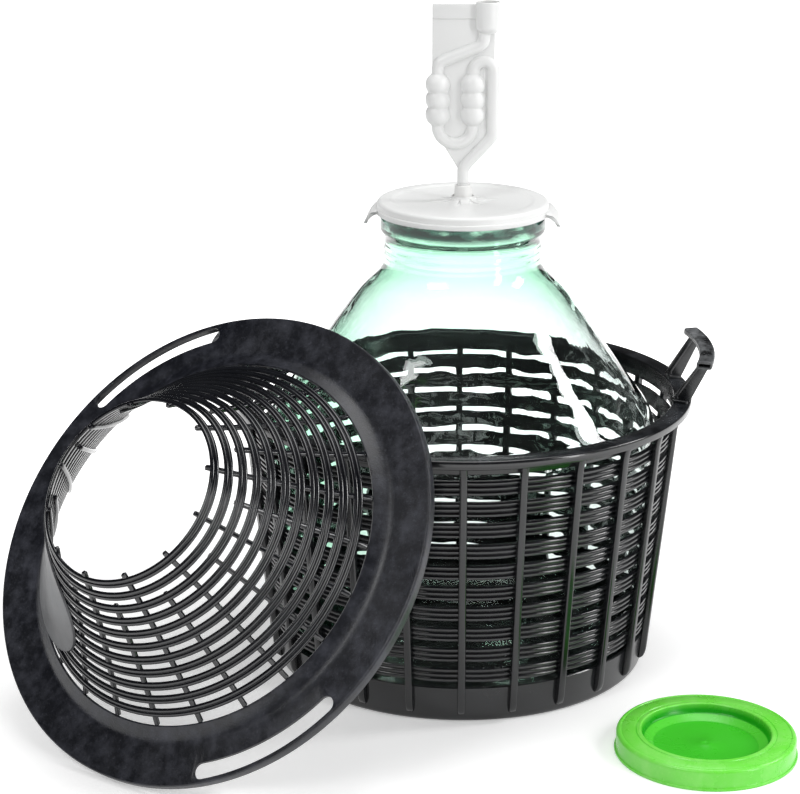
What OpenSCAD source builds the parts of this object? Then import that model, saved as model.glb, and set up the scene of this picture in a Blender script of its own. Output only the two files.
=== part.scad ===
// Wide-necked glass fermentation jar in a plastic lattice basket.
// A push-on lid carries an S-shaped airlock. The basket's cone-shaped cover leans against
// the basket, and a spare cap lies beside it.
// The origin is the centre of the basket's underside. +X runs along the line of the two
// handles, +Y points to the back and +Z is up.

/* [Basket] */
// Height of the basket from the floor to its rim
basket_h = 227; // [215:1:240]
// Outer radius of the basket wall at the floor
foot_r = 152.5; // [146:0.5:158]
// Outer radius of the rim
rim_r = 187; // [183:0.5:192]
// Width of the rim's flat top
rim_w = 14.5; // [12:0.5:16]
// Thickness of the basket's wall, rim and floor
basket_t = 3; // [2.4:0.1:3.6]
// Depth of the skirt under the rim's outer edge
rim_skirt = 7; // [5:0.5:9]
// Height of the solid band at the foot
foot_band = 30; // [24:1:36]
// Height of the solid band under the rim
top_band = 12; // [9:0.5:16]
// Number of slats one above the other
slat_count = 10; // [6:1:12]
// Gap between two slats
slat_gap = 5; // [4:0.2:6.5]
// Height of the three round reeds on each slat
reed_h = 1.4; // [0.8:0.1:2]
// Number of upright ribs round the basket
rib_count = 24; // [16:4:32]
// Width of an upright rib
rib_w = 6; // [4:0.5:8]
// How far an upright rib stands out of the wall
rib_out = 5; // [3:0.5:7]

/* [Handles] */
// Height of the handles above the rim
handle_h = 37.5; // [32:0.5:44]
// Length of the grip, as an angle round the basket
grip_angle = 30; // [24:1:34]
// Width of the grip
grip_w = 12.5; // [10:0.5:15]
// Height of the hollow grip
grip_h = 6; // [5:0.5:8]
// Outward lean of the handle from rim to grip
handle_lean = 17; // [12:0.5:20]
// Width of a handle's post
post_w = 8; // [6:0.5:10]

/* [Jar] */
// Height of the glass jar
jar_h = 378; // [370:1:386]
// Gap between the jar's belly and the basket's wall
belly_gap = 6.2; // [4:0.1:9]
// Outer radius of the jar's neck
neck_r = 63; // [60:0.5:64]
// Outer radius of the lip at the mouth
lip_r = 66.3; // [65:0.1:67]
// Height of the lip
lip_h = 23; // [18:0.5:26]
// Thickness of the glass
glass_t = 4.5; // [3.5:0.1:5.5]

/* [Lid and cap] */
// Thickness of the walls of the lid and the spare cap
lid_t = 2.4; // [1.8:0.1:3]
// Height of the lid's outer skirt
lid_skirt = 10; // [8:0.5:12]
// Height of the lid's inner sealing ring
plug_h = 8; // [6:0.5:12]
// Radius of the hole for the grommet
lid_hole_r = 6; // [5.4:0.1:7]
// Height of the spare cap
cap_h = 16.7; // [14:0.1:20]
// Radius of the spare cap's recess at the top
cap_recess_r = 49; // [44:0.5:51]
// Place of the spare cap on the floor, along X
cap_x = 186; // [180:1:230]
// Place of the spare cap on the floor, along Y
cap_y = -200; // [-240:1:-195]

/* [Airlock] */
// Outer radius of the airlock's tube
tube_r = 4.6; // [4:0.1:5]
// Wall of the airlock
tube_t = 1.2; // [0.9:0.1:1.5]
// Radius of the bubbles
bubble_r = 9.4; // [8.4:0.1:9.8]
// Distance between two bubbles of a column
bubble_pitch = 11.9; // [11:0.1:13]
// Number of bubbles in a column
bubble_count = 3; // [2:1:3]
// Outer radius of the filling cup
cup_r = 9.6; // [8.5:0.1:10]
// Height of the filling cup
cup_h = 25; // [20:1:28]
// Thickness of the web between the tubes
web_t = 2; // [1.4:0.1:3]
// Height of the tubes' top above the lid
airlock_h = 157; // [150:1:163]
// Length of the stem below the lid's top
stem_below = 20; // [14:1:26]
// Outer radius of the grommet's neck
grommet_r = 7; // [6.6:0.1:9]
// Height of the grommet above the lid
grommet_h = 12; // [8:0.5:14]

/* [Basket cover] */
// Outer radius of the cover's flange
flange_r = 190; // [187:0.5:193]
// Thickness of the flange
flange_t = 3; // [2.4:0.1:3.6]
// Depth of the skirt under the flange
flange_skirt = 8; // [6:0.5:11]
// Radius of the flange's inner edge, where the collar starts
collar_r = 158; // [154:0.5:162]
// Height of the solid collar above the flange
collar_h = 6; // [5:0.5:9]
// Radius of the cone's narrow end
mouth_r = 70; // [66:0.5:74]
// Height of the cone from the flange to its narrow end
cone_h = 110; // [104:1:118]
// Slope of the cone's wall at the narrow end, from upright
mouth_slope = 31; // [28:0.5:33]
// Number of hoops in the cone
hoop_count = 11; // [8:1:12]
// Width of a hoop
hoop_w = 7; // [5.5:0.1:8]
// Thickness of a hoop without its two ridges
hoop_t = 1.8; // [1.4:0.1:2.6]
// Height of the two ridges on a hoop
ridge_h = 0.8; // [0.5:0.1:1.2]
// Number of long ribs inside the cone, with as many short ribs between them
cone_ribs = 12; // [8:1:14]
// Width of a cone rib
cone_rib_w = 3.6; // [3:0.2:5]
// How far a cone rib stands inside the hoops
cone_rib_in = 2.2; // [1.5:0.1:3.5]
// Width of the two slots that the handles pass through
slot_w = 12.5; // [11:0.5:13]
// Length of a slot, as an angle round the flange
slot_angle = 35; // [32:1:38]
// Angle of the first slot round the flange
slot_turn = 42.5; // [0:0.5:180]
// Direction in which the leaning cover faces, from +X
lean_turn = 234.9; // [232:0.1:238]
// Sideways place of the leaning cover, seen along its lean
lean_side = -63.5; // [-70:0.5:-58]

/* [Hidden] */
$fn = 96;
// Gap between pieces that rest on or in each other
seat_gap = 0.3;
// Play of the airlock's stem in the grommet
stem_play = 0.05;
// Play of the grommet in the lid's hole
plug_play = 0.08;
// Extra length of a cutting tool past the face that it cuts
cut = 1;

// Basket wall: a cone, so its radius follows from the height
rim_in_r = rim_r - rim_w;
wall_top_r = rim_in_r + basket_t;
wall_slope = atan((wall_top_r - foot_r) / basket_h);
function wall_r(z) = foot_r + (wall_top_r - foot_r) * z / basket_h;
wall_zone = basket_h - basket_t - top_band - foot_band;
slat_h = (wall_zone - (slat_count + 1) * slat_gap) / slat_count;
slat_pitch = slat_h + slat_gap;
rib_lower_z = 7;

// Handle
grip_out_r = rim_r + handle_lean;
grip_top_z = basket_h + handle_h;
grip_round = 1.5;
grip_wall = 1.6;
post_in = rim_r - 12;
post_web = 3;
post_pad = 6;
post_turn = grip_angle / 2 - 4;

// Jar: heights of its turns above its own foot
jar_z = basket_t + seat_gap;
belly_z = 162;
belly_r = wall_r(jar_z + belly_z) - basket_t - belly_gap;
jar_foot_r = belly_r - 42;
punt_r = belly_r - 68;
punt_h = 14;
punt_ease = 14;
heel_r = 32;
heel_top_r = belly_r - 9;
shoulder_z = 212;
shoulder_r = belly_r - 14;
neck_base_z = jar_h - 50;
mouth_in_r = lip_r - glass_t - 4;
lip_round = 4;

// Lid
lid_in_r = lip_r + seat_gap;
lid_r = lid_in_r + lid_t + 0.6;
lid_z = jar_z + jar_h + seat_gap;
lid_top_z = lid_z + lid_t;
plug_r = mouth_in_r - seat_gap;
lid_round = 2.4;
lid_recess = 0.9;
recess_r = plug_r - 2;
spoke_in_r = lid_hole_r + 8;
spoke_count = 8;
spoke_w = 2;
spoke_h = 0.7;
ring_h = 4.2;
ring_out = 1.3;
tab_reach = 17;
tab_w = 26;
tab_t = 1.8;
tab_end_r = tab_w * 0.6;
tab_droop = 56;
tab_turn = -4;

// Spare cap: the lid's inner and outer radius, with a sunk floor
cap_out_r = lid_r - 1.2;
cap_round = 3.5;
cap_lip = 1.5;
cap_step = 7.6;
cap_cone_w = 9;
cap_floor_z = 3.2;

// Airlock, in its own plane: x across and z up from the lid's top
left_x = -20.6;
right_x = 7.3;
leg_x = 23.2;
cup_x = 18.5;
neck_x = cup_x - 3;
plate_left_x = -25;
plate_right_x = 24;
bend_r = (right_x - left_x) / 2;
crook_r = (leg_x - right_x) / 2;
cup_top_z = airlock_h;
cup_low_z = cup_top_z - cup_h;
plate_top_z = airlock_h - 2;
band_h = 11.5;
band_out = 0.8;
cup_round = 6;
bubble_top_z = airlock_h - 65;
bubble_low_z = bubble_top_z - bubble_pitch * (bubble_count - 1);
bend_z = bubble_low_z - 9;
crook_z = bubble_top_z + 10.5;
neck_turn_z = cup_low_z - 8.5;
left_turn_z = neck_turn_z - 14.3;
leg_turn_z = bend_z - 8;
stem_turn_z = 26;
bore_r = tube_r - tube_t;
// Radius of the ball at an elbow, as a part of the tube's radius
elbow_swell = 1.02;
// Length by which an elbow's corner is cut off
elbow_cut = 4;
cup_foot = [neck_x, cup_low_z + 3];
neck_turn = [neck_x, neck_turn_z];
left_turn = [left_x, left_turn_z];
bend_left = [left_x, bend_z];
bend_right = [right_x, bend_z];
crook_right = [right_x, crook_z];
crook_leg = [leg_x, crook_z];
leg_turn = [leg_x, leg_turn_z];
stem_turn = [0, stem_turn_z];

// Grommet
grommet_in_r = tube_r + stem_play;
grommet_collar_r = lid_hole_r + 2.5;

// Cover: its wall follows an arc in cross-section, so every hoop finds its place by the
// distance s along the wall from the narrow end
collar_in = 12;
cone_end_r = collar_r - collar_in;
cone_drop = cone_h - collar_h;
cone_flare = cone_end_r - mouth_r;
cone_chord = sqrt(cone_drop ^ 2 + cone_flare ^ 2);
cone_turn = 2 * (atan(cone_flare / cone_drop) - mouth_slope);
cone_bend_r = cone_chord / (2 * sin(cone_turn / 2));
cone_length = cone_bend_r * cone_turn * PI / 180;
function cone_slope(s) = mouth_slope + s / cone_bend_r * 180 / PI;
bend_centre = [mouth_r + cone_bend_r * cos(mouth_slope), cone_h + cone_bend_r * sin(mouth_slope)];
function cone_at(s, out = 0) =
    bend_centre - (cone_bend_r - out) * [cos(cone_slope(s)), sin(cone_slope(s))];
hoop_pitch = (cone_length - hoop_w) / (hoop_count - 0.3);
nub = 3;
cone_rib_turn = 26;
plate_turn = 297;
plate_long = 156;
plate_angle = 96;
plate_s = cone_length * 0.55;
plate_w = cone_length * 0.84;
plate_t = 1.6;
slot_ledge = 0.6;
slot_r = flange_r - flange_t - slot_ledge - slot_w / 2;
slot_end_step = 0.1;

// Where the leaning cover ends up: its skirt's lowest point touches the floor, and the front
// end of the left handle's top meets the flange's underside lean_reach outside the collar
lean_reach = 0.5;
lean_r = collar_r + lean_reach;
lean_point = (grip_round - grip_out_r) * [cos(grip_angle / 2), sin(grip_angle / 2)];
lean_dir = [cos(lean_turn), sin(lean_turn)];
lean_across = [-lean_dir[1], lean_dir[0]];
lean_up = flange_r + sqrt(lean_r ^ 2 - (lean_point * lean_across - lean_side) ^ 2);
lean_rise = flange_skirt - flange_t - seat_gap;
lean_tilt = asin(grip_top_z / norm([lean_up, lean_rise])) - atan2(lean_rise, lean_up);
cover_z = flange_skirt * cos(lean_tilt) + flange_r * sin(lean_tilt);
cover_out = lean_dir * lean_point
    + (cos(lean_tilt) * (grip_top_z - cover_z) + flange_t + seat_gap) / sin(lean_tilt);
cover_xy = cover_out * lean_dir + lean_side * lean_across;

// Points of an arc round c from angle a to angle b
function arc(c, r, a, b, n = 8) =
    [for (i = [0:n]) c + r * [cos(a + (b - a) * i / n), sin(a + (b - a) * i / n)]];

// Points of a smooth curve from p to q that leaves p along u and reaches q along v
function bow(p, u, q, v, n = 10) =
    [for (i = [0:n]) let (t = i / n)
        (1 - t) ^ 3 * p + 3 * (1 - t) ^ 2 * t * (p + u) + 3 * (1 - t) * t ^ 2 * (q - v) + t ^ 3 * q];

// One copy of the children at each of n even steps round Z
module around(n, start = 0) {
    for (i = [0:n - 1]) rotate(start + i * 360 / n) children();
}

// Cross-section of a slat with three reeds outside
module slat_section(z) {
    reed = slat_h / 3;
    polygon(concat(
        [[wall_r(z + slat_h) - basket_t, z + slat_h], [wall_r(z) - basket_t, z]],
        [for (i = [0:2], p = [[0.04, 0], [0.3, 0.9], [0.7, 0.9], [0.96, 0]])
            [wall_r(z + (i + p[0]) * reed) + (p[1] - 1) * reed_h, z + (i + p[0]) * reed]]));
}

// Upright rib outside the wall, with a rounded-off nose
module rib() {
    half = rib_w / 2;
    rotate([0, wall_slope, 0]) linear_extrude((basket_h - basket_t) / cos(wall_slope)) polygon([
        [-basket_t, -half], [rib_out - 2.2, -half], [rib_out - 0.6, -half * 0.6],
        [rib_out, 0], [rib_out - 0.6, half * 0.6], [rib_out - 2.2, half], [-basket_t, half]]);
}

// All ribs between two heights
module ribs_between(z_low, z_high) {
    intersection() {
        around(rib_count) translate([foot_r, 0, 0]) rib();
        translate([0, 0, z_low]) cylinder(r = rim_r + rib_out, h = z_high - z_low);
    }
}

module basket_base() {
    color("#1c1d20") {
        rotate_extrude() polygon([
            [0, 0], [foot_r - 1, 0], [wall_r(1.5), 1.5], [wall_r(foot_band), foot_band],
            [wall_r(foot_band) - basket_t, foot_band], [wall_r(basket_t) - basket_t, basket_t],
            [0, basket_t]]);
        ribs_between(rib_lower_z, foot_band);
    }
}

module basket_wall() {
    color("#1c1d20") {
        for (i = [0:slat_count - 1])
            rotate_extrude() slat_section(foot_band + slat_gap + i * slat_pitch);
        ribs_between(foot_band, foot_band + wall_zone);
    }
}

// Rim with its skirt, the band under it and a gusset at the head of each rib
module basket_rim() {
    low = foot_band + wall_zone;
    color("#1c1d20") {
        rotate_extrude() polygon([
            [wall_r(low) - basket_t, low], [wall_r(low), low],
            [wall_top_r, basket_h - basket_t], [rim_r - basket_t, basket_h - basket_t],
            [rim_r - basket_t, basket_h - rim_skirt], [rim_r - 0.6, basket_h - rim_skirt],
            [rim_r, basket_h - rim_skirt + 0.6], [rim_r, basket_h - 1],
            [rim_r - 1, basket_h], [rim_in_r + 0.6, basket_h], [rim_in_r, basket_h - 0.6]]);
        around(rib_count) rotate([90, 0, 0]) linear_extrude(rib_w, center = true)
            polygon([[wall_r(low) - 1, low], [wall_r(low) + rib_out, low],
                [rim_r - basket_t / 2, basket_h - basket_t],
                [wall_top_r - 1, basket_h - basket_t]]);
    }
}

// One upright handle: two leaning posts on the rim and a hollow grip that is open at its ends
module handle() {
    grip_z = grip_top_z - grip_h;
    top_in = grip_out_r - grip_w;
    post_top = grip_z + grip_wall / 2;
    color("#1c1d20") {
        rotate([0, 0, -grip_angle / 2]) rotate_extrude(angle = grip_angle) difference() {
            polygon([[top_in + grip_round, grip_z], [grip_out_r - grip_round, grip_z],
                [grip_out_r, grip_z + grip_round], [grip_out_r, grip_top_z - grip_round],
                [grip_out_r - grip_round, grip_top_z], [top_in + grip_round, grip_top_z],
                [top_in, grip_top_z - grip_round], [top_in, grip_z + grip_round]]);
            translate([top_in + grip_wall, grip_z + grip_wall])
                square([grip_w - 2 * grip_wall, grip_h - 2 * grip_wall]);
        }
        for (side = [-1, 1]) rotate(side * post_turn) {
            rotate([90, 0, 0]) linear_extrude(post_web, center = true)
                polygon([[post_in - 1, basket_h], [rim_r - 1.5, basket_h],
                    [grip_out_r - 2.5, post_top], [top_in + 1, post_top]]);
            rotate([90, 0, 0]) linear_extrude(post_w, center = true)
                polygon([[post_in - 2, basket_h], [post_in + 3, basket_h],
                    [post_in + 1.5, basket_h + 5], [top_in + 3, post_top],
                    [top_in + 1, post_top], [post_in - 1.2, basket_h + 5]]);
            translate([0, 0, basket_h]) rotate([90, 0, 0])
                linear_extrude(post_w + post_pad, center = true)
                    polygon([[post_in - 2, 0], [rim_r - 2, 0], [rim_r - 3, 2], [post_in - 1, 3]]);
        }
    }
}

// Outer outline of the jar from the foot to the mouth
jar_outer = concat(
    [[punt_r + 8, 0]],
    bow([jar_foot_r, 0], [heel_r * 0.7, 0], [heel_top_r, heel_r + 14], [4, heel_r], 8),
    bow([heel_top_r + 0.9, heel_r + 24], [4, 30], [belly_r, belly_z], [0, 34], 8),
    bow([belly_r, belly_z + 4], [0, 22], [shoulder_r, shoulder_z + 8], [-14, 16], 8),
    bow([neck_r + 26, neck_base_z - 29], [-13, 17], [neck_r, neck_base_z + 6], [0, 13], 8),
    [[neck_r, jar_h - lip_h - 2]],
    arc([lip_r - lip_round, jar_h - lip_h + lip_round], lip_round, -60, 0, 4),
    arc([lip_r - lip_round, jar_h - lip_round], lip_round, 0, 90, 5));

// Inner outline of the jar from the mouth down to the punt
jar_inner = concat(
    arc([mouth_in_r + 2, jar_h - 2], 2, 90, 180, 3),
    [[mouth_in_r, jar_h - lip_h], [neck_r - glass_t, jar_h - lip_h - 9]],
    bow([neck_r - glass_t, neck_base_z + 6], [0, -13],
        [neck_r + 26 - glass_t * 0.8, neck_base_z - 29 - glass_t * 0.6], [13, -17], 8),
    bow([shoulder_r - glass_t * 0.75, shoulder_z + 8 - glass_t * 0.66], [14, -16],
        [belly_r - glass_t, belly_z + 4], [0, -22], 8),
    bow([belly_r - glass_t, belly_z], [0, -34],
        [heel_top_r + 0.9 - glass_t, heel_r + 24], [-4, -30], 8),
    bow([heel_top_r - glass_t, heel_r + 14], [-4, -heel_r],
        [jar_foot_r, glass_t + 1.5], [-heel_r * 0.7, 0], 8),
    bow([punt_r + 4, glass_t + 1.5], [-punt_r * 0.2, 0],
        [0, punt_h + glass_t], [-punt_r * 0.43, 0], 8));

module jar() {
    color([0.6, 0.88, 0.8, 0.4]) translate([0, 0, jar_z]) rotate_extrude(convexity = 6)
        polygon(concat(jar_outer, jar_inner,
            bow([0, punt_h], [punt_r * 0.43, 0], [punt_r, 1.2], [punt_ease, -3], 8)));
}

// Low radial stiffening rib in the lid's recess
module lid_spoke() {
    translate([spoke_in_r, -spoke_w / 2, 0])
        cube([recess_r - spoke_in_r - 6, spoke_w, spoke_h]);
}

// Rounded pull tab that hangs outwards from the lid's lower ring
module pull_tab() {
    translate([lid_r - 1.5, 0, ring_h]) rotate([0, tab_droop, 0]) intersection() {
        translate([0, -tab_w / 2, -tab_t]) cube([tab_reach, tab_w, tab_t]);
        translate([tab_reach - tab_end_r, 0, -tab_t]) cylinder(r = tab_end_r, h = tab_t);
    }
}

module lid() {
    drum_r = lid_r - ring_out;
    color("#f1f1ee") {
        difference() {
            translate([0, 0, lid_top_z - lid_skirt]) rotate_extrude() polygon(concat(
                [[0, lid_skirt - lid_t], [plug_r - lid_t, lid_skirt - lid_t],
                [plug_r - lid_t + 0.4, lid_skirt - lid_t - plug_h],
                [plug_r - 0.6, lid_skirt - lid_t - plug_h],
                [plug_r, lid_skirt - lid_t - plug_h + 2], [plug_r, lid_skirt - lid_t],
                [lid_in_r, lid_skirt - lid_t], [lid_in_r, 0], [lid_r - 0.5, 0],
                [lid_r, 0.8], [lid_r, ring_h - 0.8], [drum_r, ring_h]],
                arc([drum_r - lid_round, lid_skirt - lid_round], lid_round, 0, 90, 4),
                [[recess_r, lid_skirt], [recess_r - 2, lid_skirt - lid_recess],
                [0, lid_skirt - lid_recess]]));
            translate([0, 0, lid_z - plug_h]) cylinder(r = lid_hole_r, h = plug_h + lid_t + cut);
        }
        translate([0, 0, lid_top_z - 1]) around(spoke_count, 180 / spoke_count) lid_spoke();
        translate([0, 0, lid_top_z - lid_skirt]) for (a = [0, 180]) rotate(tab_turn + a) pull_tab();
    }
}

// Soft bush in the lid's hole: its collar rests on the lid and its bore holds the stem
module grommet() {
    plug_out_r = lid_hole_r - plug_play;
    color("#ececea") translate([0, 0, lid_top_z]) rotate_extrude() polygon([
        [grommet_in_r, -lid_t - 3], [plug_out_r - 0.8, -lid_t - 3], [plug_out_r, -lid_t - 1.5],
        [plug_out_r, seat_gap - lid_recess], [grommet_collar_r - 0.5, seat_gap - lid_recess],
        [grommet_collar_r, seat_gap - lid_recess + 0.5], [grommet_collar_r - 0.6, 0.6],
        [grommet_r + 0.2, 3], [grommet_r - 0.5, grommet_h - 1],
        [grommet_r - 1.2, grommet_h], [grommet_in_r, grommet_h]]);
}

// Straight tube between two points of the airlock's plane
module tube(p, q, r) {
    d = q - p;
    translate([p[0], 0, p[1]]) rotate([0, atan2(d[0], d[1]), 0]) cylinder(r = r, h = norm(d));
}

module ball(p, r) {
    translate([p[0], 0, p[1]]) sphere(r = r);
}

// Half ring of tube round c, below it with side 180 or above it with side 0
module bend(c, bend_r, r, side) {
    translate([c[0], 0, c[1]]) rotate([90, 0, 0]) rotate(side)
        rotate_extrude(angle = 180) translate([bend_r, 0]) circle(r = r);
}

// Tube from p to q whose corner at c is cut off by a short tube between two balls
module elbow(p, c, q, r) {
    a = c + elbow_cut * (p - c) / norm(p - c);
    b = c + elbow_cut * (q - c) / norm(q - c);
    tube(a, b, r);
    ball(a, r * elbow_swell);
    ball(b, r * elbow_swell);
}

// Point at the length elbow_cut from the corner c towards p
function past(c, p) = c + elbow_cut * (p - c) / norm(p - c);

// Tubes of radius r from the cup's foot to the stem's foot, with bubbles of radius b
module airlock_path(r, b, below) {
    tube(past(neck_turn, cup_foot), cup_foot, r);
    elbow(cup_foot, neck_turn, left_turn, r);
    tube(past(left_turn, neck_turn), past(neck_turn, left_turn), r);
    elbow(neck_turn, left_turn, bend_left, r);
    tube(bend_left, past(left_turn, bend_left), r);
    bend((bend_left + bend_right) / 2, bend_r, r, 180);
    tube(bend_right, crook_right, r);
    bend((crook_right + crook_leg) / 2, crook_r, r, 0);
    tube(past(leg_turn, crook_leg), crook_leg, r);
    elbow(crook_leg, leg_turn, stem_turn, r);
    tube(past(stem_turn, leg_turn), past(leg_turn, stem_turn), r);
    elbow(leg_turn, stem_turn, [0, 0], r);
    tube([0, -stem_below - below], past(stem_turn, [0, 0]), r);
    for (x = [left_x, right_x], i = [0:bubble_count - 1])
        ball([x, bubble_low_z + i * bubble_pitch], b);
}

// Filling cup as a solid of radius r with its bottom at height z
module cup(r, z, over) {
    round_r = cup_round - (cup_r - r);
    translate([cup_x, 0, cup_low_z]) rotate_extrude() polygon(concat(
        [[0, z]], arc([r - round_r, z + round_r], round_r, -90, 0, 6),
        [[r, cup_h + over], [0, cup_h + over]]));
}

module airlock() {
    color([0.96, 0.96, 0.94, 0.9]) translate([0, 0, lid_top_z]) difference() {
        union() {
            airlock_path(tube_r, bubble_r, 0);
            cup(cup_r, 0, 0);
            rotate([90, 0, 0]) linear_extrude(web_t, center = true) polygon([
                [plate_left_x, plate_top_z], [cup_x, plate_top_z],
                [plate_right_x, cup_low_z + cup_round], [plate_right_x, crook_z],
                [leg_x + 2, leg_turn_z], [0, stem_turn_z - 8], [left_x, bend_z - 8],
                [plate_left_x, bend_z + 4]]);
            rotate([90, 0, 0]) linear_extrude(web_t + 2 * band_out, center = true)
                translate([plate_left_x, plate_top_z - band_h])
                    square([cup_x - plate_left_x, band_h]);
        }
        airlock_path(bore_r, bubble_r - tube_t, cut);
        cup(cup_r - tube_t, tube_t, cut);
    }
}

// Puts a piece of the cover where the cover leans
module leaning() {
    translate([cover_xy[0], cover_xy[1], cover_z]) rotate([0, 0, lean_turn])
        rotate([0, lean_tilt, 0]) children();
}

// Round-ended arc slot through the flange
module handle_slot() {
    half = slot_angle / 2;
    translate([0, 0, -flange_t - cut]) {
        rotate(-half) rotate_extrude(angle = slot_angle)
            translate([slot_r - slot_w / 2, 0]) square([slot_w, flange_t + 2 * cut]);
        for (side = [-half, half]) rotate(side) translate([slot_r, 0, 0])
            cylinder(d = slot_w - slot_end_step, h = flange_t + 2 * cut);
    }
}

// Flange with its skirt and the solid collar that carries the cone
module cover_flange() {
    edge_out = cone_at(cone_length, hoop_t / 2);
    edge_in = cone_at(cone_length, -hoop_t / 2);
    color("#1f2024") leaning() difference() {
        rotate_extrude() polygon([
            edge_in, edge_out, [collar_r - 2, 1], [collar_r, 0], [flange_r - 1.5, 0],
            [flange_r, -1.5], [flange_r, -flange_skirt], [flange_r - flange_t, -flange_skirt],
            [flange_r - flange_t, -flange_t], [collar_r - 1, -flange_t],
            [collar_r - 4, -flange_t + 1]]);
        for (turn = [slot_turn, slot_turn + 180]) rotate(turn) handle_slot();
    }
}

// One hoop with two ridges outside
module hoop(s) {
    top = hoop_t / 2 + ridge_h;
    rotate_extrude() translate(cone_at(s)) rotate(cone_slope(s)) polygon([
        [-hoop_t / 2, -hoop_w / 2], [hoop_t / 2, -hoop_w / 2], [top, -hoop_w * 0.36],
        [top, -hoop_w * 0.14], [hoop_t / 2, 0], [top, hoop_w * 0.14], [top, hoop_w * 0.36],
        [hoop_t / 2, hoop_w / 2], [-hoop_t / 2, hoop_w / 2]]);
}

// Rib inside the hoops, from distance s_low to s_high along the wall
module cone_rib(s_low, s_high, n = 8) {
    inside = hoop_t / 2 + cone_rib_in;
    rotate([90, 0, 0]) linear_extrude(cone_rib_w, center = true) polygon(concat(
        [for (i = [0:n]) cone_at(s_low + (s_high - s_low) * i / n, hoop_t / 4)],
        [for (i = [n:-1:0]) cone_at(s_low + (s_high - s_low) * i / n, -inside)]));
}

module cover_cone() {
    color("#1f2024") leaning() {
        for (i = [0:hoop_count - 1]) hoop(hoop_w / 2 + i * hoop_pitch);
        around(cone_ribs, cone_rib_turn) cone_rib(-nub, cone_length);
        around(cone_ribs, cone_rib_turn + 180 / cone_ribs) cone_rib(2 * hoop_pitch, cone_length);
    }
}

// Smooth blank plate outside the lattice: a shell on the hoops' ridges, cut to an oval
module cover_plate() {
    top = hoop_t / 2 + ridge_h;
    low = plate_s - plate_w / 2;
    steps = 8;
    centre = cone_at(plate_s, top);
    color("#2b2c30") leaning() rotate(plate_turn) intersection() {
        rotate(-plate_angle / 2) rotate_extrude(angle = plate_angle) polygon(concat(
            [for (i = [0:steps]) cone_at(low + plate_w * i / steps, top)],
            [for (i = [steps:-1:0]) cone_at(low + plate_w * i / steps, top + plate_t)]));
        translate([centre[0], 0, centre[1]]) rotate([0, 90 - cone_slope(plate_s), 0])
            linear_extrude(plate_w, center = true) polygon([for (a = [0:12:348])
                [plate_w / 2 * cos(a), plate_long / 2 * sin(a)]]);
    }
}

module spare_cap() {
    step_z = cap_h - cap_step;
    floor_r = cap_recess_r - cap_cone_w;
    color("#35b82a") translate([cap_x, cap_y, 0]) rotate_extrude() polygon(concat(
        [[lid_in_r, 0], [lid_r - 0.4, 0], [lid_r, 0.5], [lid_r, 1.8], [cap_out_r, 2.4]],
        arc([cap_out_r - cap_round, cap_h - cap_round], cap_round, 0, 90, 4),
        arc([cap_recess_r + cap_lip, cap_h - cap_lip], cap_lip, 90, 180, 3),
        [[cap_recess_r - 1, step_z], [cap_recess_r - 2.6, step_z - 0.4],
            [floor_r + 1, cap_floor_z + lid_t + 1], [floor_r, cap_floor_z + lid_t],
            [0, cap_floor_z + lid_t], [0, cap_floor_z], [floor_r + 1.8, cap_floor_z],
            [cap_recess_r - 0.2, step_z - lid_t], [cap_recess_r + lid_t, cap_h - lid_t],
            [lid_in_r, cap_h - lid_t]]));
}

basket_base();
basket_wall();
basket_rim();
handle();  // handle_right
rotate(180) handle();  // handle_left
jar();
lid();
grommet();
airlock();
cover_flange();
cover_cone();
cover_plate();
spare_cap();
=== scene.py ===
import math

import bmesh
import bpy
from mathutils import Euler, Matrix, Vector


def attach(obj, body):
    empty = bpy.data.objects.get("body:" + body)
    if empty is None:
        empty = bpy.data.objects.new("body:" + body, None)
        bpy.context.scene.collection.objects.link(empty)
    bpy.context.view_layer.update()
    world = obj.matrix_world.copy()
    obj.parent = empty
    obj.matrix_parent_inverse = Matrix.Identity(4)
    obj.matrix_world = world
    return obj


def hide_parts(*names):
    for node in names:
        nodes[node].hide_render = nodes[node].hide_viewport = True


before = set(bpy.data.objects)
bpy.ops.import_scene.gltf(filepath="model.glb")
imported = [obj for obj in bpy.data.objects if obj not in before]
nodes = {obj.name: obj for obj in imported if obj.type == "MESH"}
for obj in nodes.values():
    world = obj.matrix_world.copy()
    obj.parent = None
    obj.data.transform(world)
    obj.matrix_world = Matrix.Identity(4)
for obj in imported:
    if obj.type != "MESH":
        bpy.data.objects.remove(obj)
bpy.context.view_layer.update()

MM = 0.001
# points that lie closer than this are one
WELD = 1e-6

# Sizes in metres, the same as those of the solids
BASKET_H = 0.227
FOOT_R = 0.1525
RIM_R = 0.187
RIM_W = 0.0145
BASKET_T = 0.003
JAR_Z = 0.0033
JAR_H = 0.378
LID_TOP_Z = 0.384
CAP_PLACE = (0.186, -0.200)

# The same in millimetres, in which all pieces but the basket are drawn
RIM_R_MM = RIM_R / MM
BASKET_H_MM = BASKET_H / MM
JAR_H_MM = JAR_H / MM
LID_TOP = LID_TOP_Z / MM


# Tools for shader nodes

def feed(tree, node, sockets):
    """Gives each socket its plain value, or links it to the output that feeds it."""
    for key, value in sockets.items():
        if isinstance(value, bpy.types.NodeSocket):
            tree.links.new(value, node.inputs[key])
        else:
            node.inputs[key].default_value = value


def put(tree, kind, sockets=None, **settings):
    """A new shader node with these settings and sockets."""
    made = tree.nodes.new("ShaderNode" + kind)
    for label, value in settings.items():
        setattr(made, label, value)
    feed(tree, made, sockets or {})
    return made


def noise(tree, vector, scale, detail, roughness=0.5):
    """Soft random patches, more of them to the metre at a larger scale."""
    return put(tree, "TexNoise", {"Vector": vector, "Scale": scale, "Detail": detail,
                                  "Roughness": roughness}).outputs["Fac"]


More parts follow.
